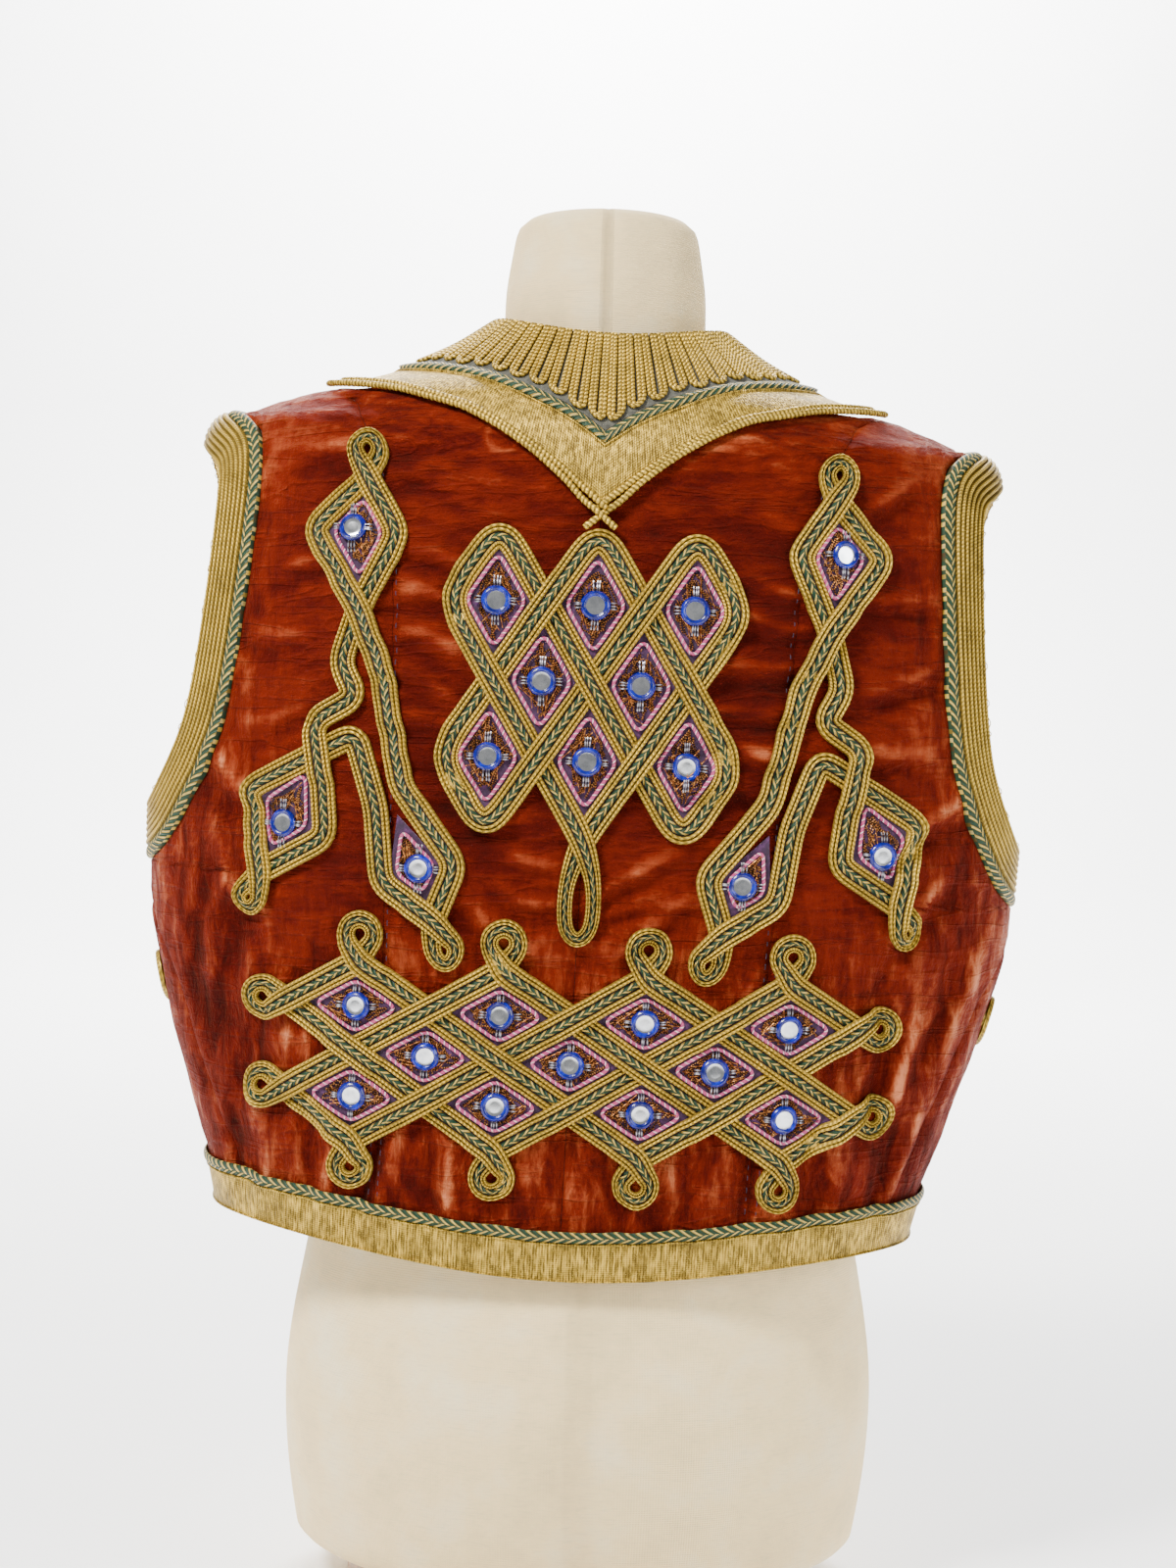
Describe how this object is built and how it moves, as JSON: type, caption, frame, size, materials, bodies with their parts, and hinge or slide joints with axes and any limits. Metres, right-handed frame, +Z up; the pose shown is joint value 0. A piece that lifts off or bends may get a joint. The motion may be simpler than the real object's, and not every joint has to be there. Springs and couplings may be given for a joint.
{
  "type": "embroidered vest on dress form",
  "caption": "Short sleeveless folk vest of quilted velvet with laid braid, mirrors and a V of woven band under the collar, worn by a plain limbless dress form on a round foot.",
  "frame": {"origin": "middle of the underside of the dress form's foot, which stands on a surface", "axes": "+Z up; +Y towards the wearer's back, the embroidered side; +X towards the wearer's left"},
  "size_m": [0.4952, 0.26, 0.774],
  "materials": {
    "velvet": "crushed pile",
    "lining": "plain weave",
    "gold_braid": "metallic thread",
    "plait": "plaited thread",
    "galloon": "woven metallic thread",
    "grey_cloth": "felted",
    "gold_cord": "twisted metallic thread",
    "purple_cloth": "matt",
    "mirror_ring": "gloss",
    "form_linen": "plain weave",
    "form_wood": "satin"
  },
  "bodies": {
    "root": {"armhole_chevron_left": "plait", "armhole_chevron_right": "plait", "armhole_rows_left": "gold_braid", "armhole_rows_right": "gold_braid", "back_centre_left": "velvet", "back_centre_right": "velvet", "back_side_left": "velvet", "back_side_right": "velvet", "collar_chevron": "plait", "collar_cords": "gold_cord", "collar_ground": "grey_cloth", "form_foot": "form_wood", "form_torso": "form_linen", "front_galloon_left": "galloon", "front_galloon_right": "galloon", "front_left": "velvet", "front_right": "velvet", "ground_centre": "purple_cloth", "ground_lower": "purple_cloth", "hem_chevron": "plait", "hem_galloon": "galloon", "lining_back": "lining", "lining_front_left": "lining", "lining_front_right": "lining", "mirror_00": "mirror_ring", "mirror_01": "mirror_ring", "mirror_02": "mirror_ring", "mirror_03": "mirror_ring", "mirror_04": "mirror_ring", "mirror_05": "mirror_ring", "mirror_06": "mirror_ring", "mirror_07": "mirror_ring", "mirror_08": "mirror_ring", "mirror_09": "mirror_ring", "mirror_10": "mirror_ring", "mirror_11": "mirror_ring", "mirror_12": "mirror_ring", "mirror_13": "mirror_ring", "mirror_14": "mirror_ring", "mirror_15": "mirror_ring", "mirror_16": "mirror_ring", "mirror_17": "mirror_ring", "mirror_18": "mirror_ring", "mirror_19": "mirror_ring", "mirror_20": "mirror_ring", "mirror_21": "mirror_ring", "mirror_22": "mirror_ring", "mirror_23": "mirror_ring", "mirror_24": "mirror_ring", "motif_centre": "gold_braid", "motif_front_left": "gold_braid", "motif_front_right": "gold_braid", "motif_lower_a": "gold_braid", "motif_lower_b": "gold_braid", "motif_side_left": "gold_braid", "motif_side_right": "gold_braid", "neck_galloon": "galloon"}
  },
  "joints": []
}
